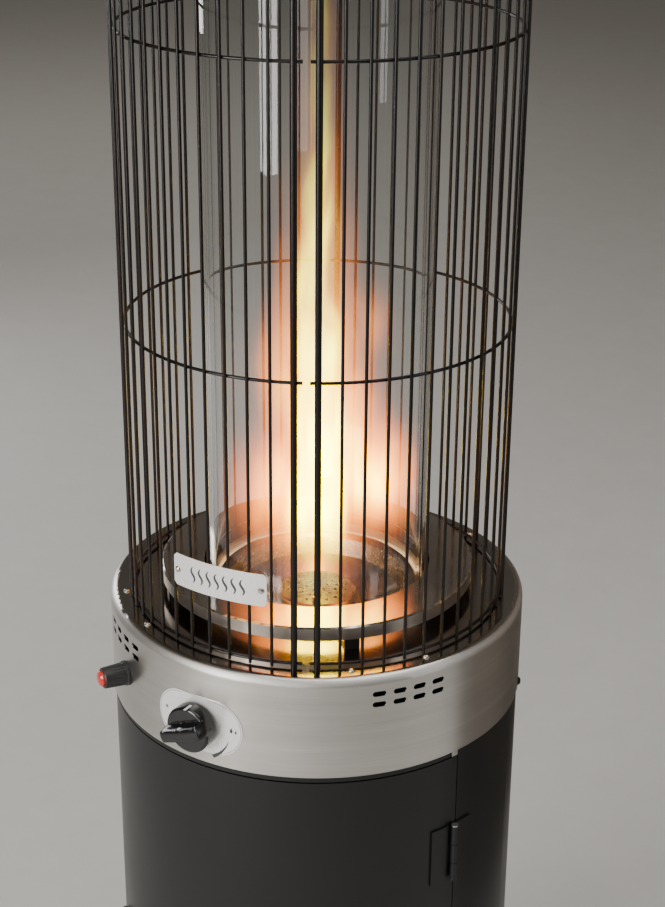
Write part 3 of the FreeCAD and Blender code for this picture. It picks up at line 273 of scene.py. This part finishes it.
def clear_glass():
    """Borosilicate glass with faint vertical draw lines."""
    material, tree, shader = new_finish("clear_glass", Transmission_Weight=1.0, IOR=1.47,
                                        Roughness=0.0, Specular_IOR_Level=0.3)
    place = tree.place()
    lines = tree.noise(tree.vector("MULTIPLY", place, BRUSH_UP), 45, 2)
    shader.inputs["Base Color"].default_value = (0.965, 0.975, 0.97, 1)
    bump = tree.add("Bump", {"Height": lines, "Strength": 0.02, "Distance": 0.1 * MM})
    tree.put(shader.inputs["Normal"], bump.outputs["Normal"])
    return material


def black_wire():
    """Heat-proof black on wire, turned brown in patches by the flame."""
    material, tree, shader = new_finish("black_wire", Specular_IOR_Level=0.35)
    place = tree.place()
    patches = tree.noise(tree.vector("MULTIPLY", place, (1, 1, 0.25)), 30, 3)
    fine = tree.noise(place, 1200, 2)
    tree.put(shader.inputs["Base Color"], tree.ramp(patches, [
        (0.4, (0.004, 0.004, 0.004)), (0.75, (0.014, 0.006, 0.004))]))
    tree.put(shader.inputs["Roughness"], tree.span(fine, 0.3, 0.7, 0.24, 0.34))
    bump = tree.add("Bump", {"Height": fine, "Strength": 0.3, "Distance": 0.03 * MM})
    tree.put(shader.inputs["Normal"], bump.outputs["Normal"])
    return material


FINISHES = {
    "brushed_stainless": brushed_stainless(),
    "polished_stainless": polished_stainless(),
    "clear_glass": clear_glass(),
    "black_wire": black_wire(),
    "black_powder_coat": grained("black_powder_coat", (0.009, 0.009, 0.0095), 0.33, grain=1100,
                                 relief=0.04, Specular_IOR_Level=0.4),
    "black_screw": grained("black_screw", (0.015, 0.015, 0.015), 0.32, grain=900, Metallic=0.6),
    "black_rubber": grained("black_rubber", (0.022, 0.022, 0.022), 0.72, grain=500, relief=0.1),
    "black_plastic": grained("black_plastic", (0.02, 0.02, 0.021), 0.42, grain=1500,
                             relief=0.05),
    "gloss_black_plastic": grained("gloss_black_plastic", (0.007, 0.007, 0.008), 0.16, grain=300,
                                   swing=0.03, relief=0.004, Coat_Weight=0.3, Coat_Roughness=0.08),
    "red_plastic": grained("red_plastic", (0.62, 0.035, 0.02), 0.2, grain=400, relief=0.005,
                           Coat_Weight=0.4, Coat_Roughness=0.06),
    "satin_dial": grained("satin_dial", (0.93, 0.925, 0.91), 0.27, grain=1300, stretch=(1, 1, 0.03),
                          tone=0.03, Metallic=0.35),
    "zinc_steel": grained("zinc_steel", (0.5, 0.5, 0.51), 0.34, grain=250, Metallic=1.0),
    "cast_aluminium": grained("cast_aluminium", (0.5, 0.5, 0.5), 0.5, grain=420, relief=0.15,
                              Metallic=1.0),
    "soft_aluminium": grained("soft_aluminium", (0.68, 0.68, 0.68), 0.3, grain=350,
                              Metallic=1.0),
    "brass_fitting": grained("brass_fitting", (0.72, 0.52, 0.22), 0.26, grain=600,
                             stretch=(1, 1, 0.1), Metallic=1.0),
    "copper_probe": grained("copper_probe", (0.7, 0.36, 0.22), 0.3, grain=300, Metallic=1.0),
    "white_ceramic": grained("white_ceramic", (0.82, 0.8, 0.75), 0.3, grain=500, tone=0.05),
    "ceramic_fibre": grained("ceramic_fibre", (0.7, 0.68, 0.62), 0.9, grain=900, relief=0.2),
    "lead_insulation": grained("lead_insulation", (0.45, 0.08, 0.05), 0.5, grain=600),
    "print_ink": grained("print_ink", (0.05, 0.05, 0.05), 0.5, grain=900, tone=0.3),
    # white_ink colours the line on top of the knob's skirt, a painted highlight
    "white_ink": grained("white_ink", (0.75, 0.75, 0.73), 0.5, grain=900, tone=0.08),
}

for part in frame["record"]["subparts"]:
    mesh = frame["nodes"][part["node"]].data
    mesh.materials.clear()
    mesh.materials.append(FINISHES[part["material_slot"]])

frame["nodes"]["glass_tube"].visible_shadow = False


# ---------------------------------------------------------------- fine pieces

def new_piece(name, shape, finish, body, sharp=40):
    """A smooth-shaded piece made from a bmesh, painted, slotted and riding on a CAD body."""
    mesh = bpy.data.meshes.new(name)
    bmesh.ops.recalc_face_normals(shape, faces=shape.faces)
    shape.to_mesh(mesh)
    shape.free()
    mesh.shade_smooth()
    mesh.set_sharp_from_angle(angle=math.radians(sharp))
    mesh.materials.append(FINISHES[finish])
    piece = bpy.data.objects.new(name, mesh)
    bpy.context.collection.objects.link(piece)
    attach(piece, body)
    return piece


def stroke(path, widths):
    """The quads of a line of varying width along a flat path."""
    sides = []
    for number, here in enumerate(path):
        before = path[max(number - 1, 0)]
        after = path[min(number + 1, len(path) - 1)]
        run = (after - before).normalized()
        side = Vector((-run.y, run.x)) * widths[number] / 2
        sides.append((here - side, here + side))
    return [(*first, *reversed(second)) for first, second in zip(sides, sides[1:])]


def printed(name, faces, azimuth, radius, level, finish, body):
    """A thin print on an upright cylinder. Its faces are flat outlines of (round, up) distances."""
    ink_back, ink_front = -0.02 * MM, 0.06 * MM
    shape = bmesh.new()
    corners = {}
    for face in faces:
        ring = []
        for corner in face:
            key = (round(corner[0] * 1e6), round(corner[1] * 1e6))
            if key not in corners:
                place = out_of(azimuth + corner[0] / radius) * (radius + ink_back)
                corners[key] = shape.verts.new(place + Vector((0, 0, level + corner[1])))
            ring.append(corners[key])
        shape.faces.new(ring)
    raised = bmesh.ops.extrude_face_region(shape, geom=list(shape.faces))["geom"]
    for vertex in raised:
        if isinstance(vertex, bmesh.types.BMVert):
            away = Vector((vertex.co.x, vertex.co.y, 0)).normalized()
            vertex.co += away * (ink_front - ink_back)
    new_piece(name, shape, finish, body)


def arc(centre, radius, start, end, steps):
    """Points along an arc. The angles are in degrees, anticlockwise from the right."""
    angles = [math.radians(start + (end - start) * step / steps) for step in range(steps + 1)]
    return [centre + Vector((math.cos(angle), math.sin(angle))) * radius for angle in angles]


def drop(centre, height, steps=16):
    """The outline of a small flame, pointed at its top."""
    outline = []
    for step in range(steps):
        turn = 2 * math.pi * step / steps
        wide = 0.34 * math.sin(turn) * math.sin(turn / 2) ** 1.4
        outline.append(centre + Vector((wide, 0.5 * math.cos(turn))) * height)
    return outline


def star(centre, reach, rays=6):
    """The outline of a small spark."""
    return [centre + Vector((math.cos(math.pi * tip / rays), math.sin(math.pi * tip / rays)))
            * (reach if tip % 2 == 0 else reach * 0.35) for tip in range(2 * rays)]


def racetrack(length, width, steps=14):
    """A closed outline with straight long sides and round ends."""
    reach = (length - width) / 2
    right = arc(Vector((reach, 0)), width / 2, -90, 90, steps)
    left = arc(Vector((-reach, 0)), width / 2, 90, 270, steps)
    return [*right, *left, right[0]]


def dial_prints():
    """The dial plate's outline, spark, flames and heat wedge."""
    low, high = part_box("dial_plate")
    azimuth = math.atan2(joint("knob_turn")["axis"][0], -joint("knob_turn")["axis"][1])
    radius = outer_radius("dial_plate")
    across = 2 * radius * math.asin(math.hypot(high.x - low.x, high.y - low.y) / 2 / radius)
    tall = high.z - low.z
    border = racetrack(across - 3 * MM, tall - 3 * MM)
    wedge = arc(Vector((0, 0)), 0.62 * tall, -62, -18, 12)
    swell = [(0.4 + 3.4 * (step / 12)) * MM for step in range(13)][::-1]
    faces = stroke(border, [0.35 * MM] * len(border)) + stroke(wedge, swell)
    faces.append(star(Vector((-0.66 * tall, 0.08 * tall)), 2.6 * MM))
    faces.append(drop(Vector((0.64 * tall, 0.03 * tall)), 5.6 * MM))
    faces.append(drop(Vector((0.72 * tall, 0.01 * tall)), 3.8 * MM))
    printed("dial_prints", faces, azimuth, radius, (low.z + high.z) / 2, "print_ink",
            "housing")


def name_plate_prints():
    """A row of plain heat waves in place of a name."""
    low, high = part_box("name_plate")
    tall = 0.5 * (high.z - low.z)
    faces = []
    for number in range(-3, 4):
        middle = number * 8.5 * MM
        wave = [Vector((middle + 1.9 * MM * math.sin(2 * math.pi * step / 16),
                        tall * (step / 16 - 0.5))) for step in range(17)]
        swell = [2.5 * MM * math.sin(math.pi * (step + 1.5) / 19) for step in range(17)]
        faces += stroke(wave, swell)
    printed("name_plate_waves", faces, middle_azimuth("name_plate"), outer_radius("name_plate"),
            (low.z + high.z) / 2, "print_ink", "housing")


def knob_frame():
    """The gas knob's right, up and outward directions, and where its axis meets the heater's."""
    turn = joint("knob_turn")
    out = Vector(turn["axis"])
    up = Vector((0, 0, 1))
    return up.cross(out), up, out, Vector((0, 0, turn["pos_m"][2]))


def knob_sizes():
    """How far out the CAD knob starts and ends, and its radius."""
    _, up, out, _ = knob_frame()
    back, front = extent("control_knob", out)
    low, high = extent("control_knob", up)
    return back, front, (high - low) / 2


def knob_moulding():
    """The gas knob: a deep skirt with a rounded rim, and a grip bar with scooped sides."""
    across, up, out, centre = knob_frame()
    back, front, radius = knob_sizes()
    face = back + 0.49 * (front - back)
    tilt = math.radians(22)
    half_grip, rim, scoop = 5.2 * MM, 2.6 * MM, 2.4 * MM
    rings, spokes = 30, 120

    def height(place, reach):
        """How far out the moulding's surface is at a place on its front."""
        over = max(0.0, reach - (radius - rim)) / rim
        skirt = face - rim * (1 - math.sqrt(max(0.0, 1 - over * over)))
        beside = abs(-math.sin(tilt) * place.x + math.cos(tilt) * place.y)
        along = abs(math.cos(tilt) * place.x + math.sin(tilt) * place.y)
        crown = front - 1.1 * MM * (along / radius) ** 2 - 0.7 * MM * (beside / half_grip) ** 2
        edge = min(1.0, max(0.0, (beside - half_grip) / scoop))
        flank = (1 - edge) ** 2 * (1 + 2 * edge)
        end = min(1.0, max(0.0, (radius - reach) / (1.2 * MM)))
        crown -= 1.2 * MM * (1 - math.sqrt(1 - (1 - end) ** 2))
        return skirt + (crown - skirt) * flank

    shape = bmesh.new()
    previous = [shape.verts.new(centre + out * height(Vector((0, 0)), 0))]
    for ring in range(1, rings + 3):
        row = []
        for spoke in range(spokes):
            angle = 2 * math.pi * spoke / spokes
            reach = radius * math.sin(math.pi / 2 * min(ring, rings) / rings)
            place = Vector((math.cos(angle), math.sin(angle))) * reach
            level = height(place, reach)
            if ring > rings:
                level = back + (rim if ring == rings + 1 else 0)
            row.append(shape.verts.new(centre + across * place.x + up * place.y + out * level))
        for spoke in range(spokes):
            after = (spoke + 1) % spokes
            if ring == 1:
                shape.faces.new((previous[0], row[spoke], row[after]))
            else:
                shape.faces.new((previous[spoke], row[spoke], row[after], previous[after]))
        previous = row
    shape.faces.new(previous)
    knob = new_piece("knob_moulding", shape, "gloss_black_plastic",
                     "knob", sharp=50)
    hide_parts("control_knob")


def knob_painted_highlight():
    """A white line on top of the knob's skirt: a painted highlight where the skirt's top catches the light."""
    across, up, out, centre = knob_frame()
    back, front, radius = knob_sizes()
    start, length, width = back + 4 * MM, 0.42 * (front - back), 2.6 * MM
    ink_back, ink_front = -0.05 * MM, 0.08 * MM
    shape = bmesh.new()
    rows = []
    for depth in (start, start + length):
        for lift in (ink_back, ink_front):
            middle = centre + up * (radius + lift) + out * depth
            rows.append([shape.verts.new(middle + across * side)
                         for side in (-width / 2, 0, width / 2)])
    inner_back, outer_back, inner_front, outer_front = rows
    for first, second in ((inner_back, outer_back), (outer_back, outer_front),
                          (outer_front, inner_front), (inner_front, inner_back)):
        for side in (0, 1):
            shape.faces.new((first[side], first[side + 1], second[side + 1], second[side]))
    for side in (0, 2):
        shape.faces.new([row[side] for row in (inner_back, outer_back, outer_front, inner_front)])
    # white ink here paints a highlight along the top of the skirt
    new_piece("knob_painted_highlight", shape, "white_ink", "knob")


def disc_springs():
    """The knob's disc springs, which in the heater flatten inwards as the knob is pressed. Here they are a fixed
    copy of the CAD springs, riding on the housing.
    """
    springs = bpy.data.objects.new("disc_springs", frame["nodes"]["knob_spring"].data.copy())
    bpy.context.collection.objects.link(springs)
    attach(springs, "housing")
    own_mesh(springs)
    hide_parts("knob_spring")


dial_prints()
name_plate_prints()
knob_moulding()
# the knob's skirt gets a painted highlight strip
knob_painted_highlight()
disc_springs()


# ---------------------------------------------------------------- flame

CAMERA_AZIMUTH = math.radians(20.4)
flame_side = Vector((math.cos(CAMERA_AZIMUTH), math.sin(CAMERA_AZIMUTH), 0))
flame_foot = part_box("burner_head")[0].z + 4 * MM
FLAME_HEIGHT = 0.68
FLAME_RADIUS = 0.088
FLAME_STRENGTH = 300
# up the flame, in shares of its height: its width as a share of its radius, and its brightness
FLAME_WIDTHS = [(0, 0.5), (0.05, 0.64), (0.1, 0.72), (0.17, 0.76), (0.25, 0.68), (0.33, 0.6),
                (0.47, 0.56), (0.62, 0.46), (0.77, 0.33), (0.9, 0.22), (1, 0.06)]
FLAME_FADE = [(0, 0.02), (0.06, 0.06), (0.12, 0.42), (0.19, 0.9), (0.3, 0.75), (0.45, 0.38),
              (0.6, 0.14), (0.8, 0.05), (1, 0)]
# the gas's colour, from its faint edge to its heart
FLAME_HUES = [(0.0, (1.0, 0.17, 0.003)), (0.3, (1.0, 0.32, 0.004)), (0.6, (1.0, 0.8, 0.01)),
              (1.0, (1.0, 1.0, 0.02))]
# each lobe: how far to the side, how high above the foot, how wide, how tall, how bright
LOBES = [(0.052, 0.130, 0.028, 0.034, 1.1), (0.030, 0.185, 0.024, 0.040, 0.45),
         (0.046, 0.285, 0.015, 0.030, 0.35), (-0.034, 0.27, 0.013, 0.050, 0.3),
         (-0.030, 0.115, 0.034, 0.040, 0.5)]


def flame_finish():
    """Glowing gas: a wandering column with a white-hot heart, side lobes and a blue foot."""
    material = bpy.data.materials.new("flame")
    tree = Tree(material)
    tree.nodes.remove(tree.nodes["Principled BSDF"])
    place = tree.place()
    height = tree.add("SeparateXYZ", {0: place}).outputs["Z"]
    rise = tree.calc("DIVIDE", tree.calc("SUBTRACT", height, flame_foot), FLAME_HEIGHT)
    swirl = tree.noise(tree.vector("MULTIPLY", place, (1, 1, 0.45)), 17, 2, "Color")
    lean = tree.vector("SCALE", tree.vector("SUBTRACT", swirl, (0.5, 0.5, 0.5)))
    tree.put(lean.node.inputs["Scale"], tree.span(rise, 0, 0.5, 0.02, 0.055))
    moved = tree.vector("ADD", place, lean)
    reach = tree.vector("LENGTH", tree.vector("MULTIPLY", moved, (1, 1, 0)))
    width = tree.calc("MULTIPLY", tree.curve(rise, FLAME_WIDTHS), FLAME_RADIUS)

    def fall(share):
        """A soft round falloff across a share of the flame's width."""
        ratio = tree.calc("DIVIDE", reach, tree.calc("MULTIPLY", width, share))
        inside = tree.calc("SUBTRACT", 1, tree.calc("MULTIPLY", ratio, ratio))
        return tree.calc("POWER", tree.calc("MAXIMUM", inside, 0), 1.5)

    glow = tree.calc("MULTIPLY_ADD", fall(0.5), 1.5, tree.calc("MULTIPLY", fall(1.0), 0.35))
    for side, level, wide, tall, bright in LOBES:
        middle = flame_side * side + Vector((0, 0, flame_foot + level))
        away = tree.vector("DIVIDE", tree.vector("SUBTRACT", moved, middle), (wide, wide, tall))
        square = tree.vector("DOT_PRODUCT", away, away)
        lobe = tree.calc("EXPONENT", tree.calc("MULTIPLY", square, -1))
        glow = tree.calc("MULTIPLY_ADD", lobe, bright, glow)
    streaks = tree.noise(tree.vector("MULTIPLY", moved, (1, 1, 0.18)), 75, 3)
    glow = tree.calc("MULTIPLY", glow, tree.span(streaks, 0.36, 0.62, 0.35, 1.25))
    fade = tree.curve(rise, FLAME_FADE)
    strength = tree.calc("MULTIPLY", tree.calc("MULTIPLY", glow, fade), FLAME_STRENGTH)
    hue = tree.ramp(tree.calc("MULTIPLY", glow, 0.6), FLAME_HUES)
    blue = tree.span(rise, 0.01, 0.075, 0.55, 0, smooth=True)
    hue = tree.blend(blue, hue, (0.35, 0.4, 1.0, 1))
    emission = tree.add("Emission", {"Color": hue, "Strength": strength})
    tree.links.new(emission.outputs[0], tree.nodes["Material Output"].inputs["Volume"])
    material.cycles.volume_step_rate = 0.25
    return material


def flame():
    """The glowing gas. It is light, not a piece, so it belongs to the stage."""
    shape = bmesh.new()
    rings, spokes = 24, 40
    inner = min(math.hypot(point.x, point.y) for point in points("glass_tube")) - 4 * MM
    rows = []
    for ring in range(rings + 1):
        rise = ring / rings
        radius = inner * (0.7 + 0.3 * min(1, rise / 0.08)) * (1 - 0.5 * max(0, rise - 0.35) / 0.65)
        if ring == 0:
            radius = 0.6 * inner
        rows.append([shape.verts.new(out_of(2 * math.pi * spoke / spokes) * radius
                                     + Vector((0, 0, flame_foot + FLAME_HEIGHT * rise)))
                     for spoke in range(spokes)])
    for first, second in zip(rows, rows[1:]):
        for spoke in range(spokes):
            after = (spoke + 1) % spokes
            shape.faces.new((first[spoke], first[after], second[after], second[spoke]))
    shape.faces.new(rows[0])
    shape.faces.new(rows[-1])
    bmesh.ops.recalc_face_normals(shape, faces=shape.faces)
    mesh = bpy.data.meshes.new("flame")
    shape.to_mesh(mesh)
    shape.free()
    mesh.materials.append(flame_finish())
    body = bpy.data.objects.new("flame", mesh)
    bpy.context.collection.objects.link(body)
    body.visible_diffuse = False
    body.visible_shadow = False


def lamp(name, kind, place, energy, colour, target=None, size=(), glossy=True):
    """A studio lamp, turned to its target. Area lamps are rectangles of that size."""
    data = bpy.data.lights.new(name, kind)
    data.energy = energy
    data.color = colour
    if kind == "AREA":
        data.shape = "RECTANGLE"
        data.size, data.size_y = size
    else:
        data.shadow_soft_size = size[0]
    item = bpy.data.objects.new(name, data)
    bpy.context.collection.objects.link(item)
    item.location = place
    if target is not None:
        item.rotation_mode = "QUATERNION"
        item.rotation_quaternion = (Vector(target) - Vector(place)).to_track_quat("-Z", "Y")
    item.visible_camera = False
    item.visible_transmission = False
    item.visible_glossy = glossy


def flame_light():
    """Warm lamps along the flame, which light the guard, the deck and the cap."""
    for number, (rise, energy) in enumerate(((0.12, 3.0), (0.25, 1.8), (0.45, 0.8))):
        place = Vector((0, 0, flame_foot + FLAME_HEIGHT * rise))
        lamp(f"flame_light_{number}", "POINT", place, energy, (1.0, 0.42, 0.13), size=(0.035,),
             glossy=False)


flame()
flame_light()


# ---------------------------------------------------------------- studio

def sheet(name, corners, material):
    """A flat card of the stage."""
    mesh = bpy.data.meshes.new(name)
    mesh.from_pydata([tuple(corner) for corner in corners], [], [tuple(range(len(corners)))])
    mesh.materials.append(material)
    card = bpy.data.objects.new(name, mesh)
    bpy.context.collection.objects.link(card)
    return card


WARM_WHITE = (1.0, 0.98, 0.95)
COOL_WHITE = (0.97, 0.98, 1.0)
# each soft box: its azimuth, how far away and how high it is, its power, colour, width and height
SOFT_BOXES = {
    "left_box": (-27, 2.4, 1.4, 56, WARM_WHITE, (0.8, 1.7)),
    "front_box": (5, 3.0, 1.3, 14, WARM_WHITE, (1.0, 1.6)),
    "right_box": (82, 2.8, 1.6, 10, COOL_WHITE, (0.4, 2.0)),
    "back_box": (235, 3.2, 1.6, 24, COOL_WHITE, (0.8, 1.8)),
}


def studio():
    """A pale floor in a dim room, soft boxes round the heater, lamps over it and over the floor
    behind it, and a dark card that only the steel's right side reflects."""
    half = 30
    floor = grained("studio_floor", (0.57, 0.56, 0.54), 0.75, grain=30, tone=0.03, relief=0.2)
    sheet("floor", [(-half, -half, 0), (half, -half, 0), (half, half, 0), (-half, half, 0)], floor)

    room = bpy.data.worlds.new("room")
    bpy.context.scene.world = room
    background = Tree(room).nodes["Background"]
    background.inputs["Color"].default_value = (0.30, 0.275, 0.24, 1)
    background.inputs["Strength"].default_value = 0.4

    aim = Vector((0, 0, 0.75))
    for name, (azimuth, away, height, power, colour, size) in SOFT_BOXES.items():
        place = out_of(math.radians(azimuth)) * away + Vector((0, 0, height))
        lamp(name, "AREA", place, power, colour, aim, size)
    beyond = out_of(math.radians(215)) * 4.8
    lamp("far_box", "AREA", beyond + Vector((0, 0, 3)), 30, (1.0, 0.96, 0.9), beyond, (3, 3),
         glossy=False)
    lamp("top_box", "AREA", (0.4, 0.1, 3.3), 58, WARM_WHITE, (0.2, 0.1, 0), (2.2, 2.2))

    dark = grained("dark_card", (0.13, 0.115, 0.1), 0.9)
    near, far = out_of(math.radians(95)) * 0.8, out_of(math.radians(185)) * 1.6
    top = Vector((0, 0, 1.3))
    card = sheet("dark_card", [near, far, far + top, near + top], dark)
    card.visible_camera = False
    card.visible_diffuse = False
    card.visible_shadow = False
    card.visible_transmission = False


def camera():
    """The camera, as high as the guard's upper part and looking down at the burner."""
    distance, height = 1.5856, 1.6036
    pitch, pan, roll = (math.radians(angle) for angle in (22.98, 0.513, 0.444))
    data = bpy.data.cameras.new("camera")
    data.lens = 72.19
    item = bpy.data.objects.new("camera", data)
    bpy.context.collection.objects.link(item)
    place = out_of(CAMERA_AZIMUTH) * distance + Vector((0, 0, height))
    item.matrix_world = (Matrix.Translation(place)
                         @ Matrix.Rotation(CAMERA_AZIMUTH - pan, 4, "Z")
                         @ Matrix.Rotation(math.pi / 2 - pitch, 4, "X")
                         @ Matrix.Rotation(roll, 4, "Z"))
    bpy.context.scene.camera = item


studio()
camera()
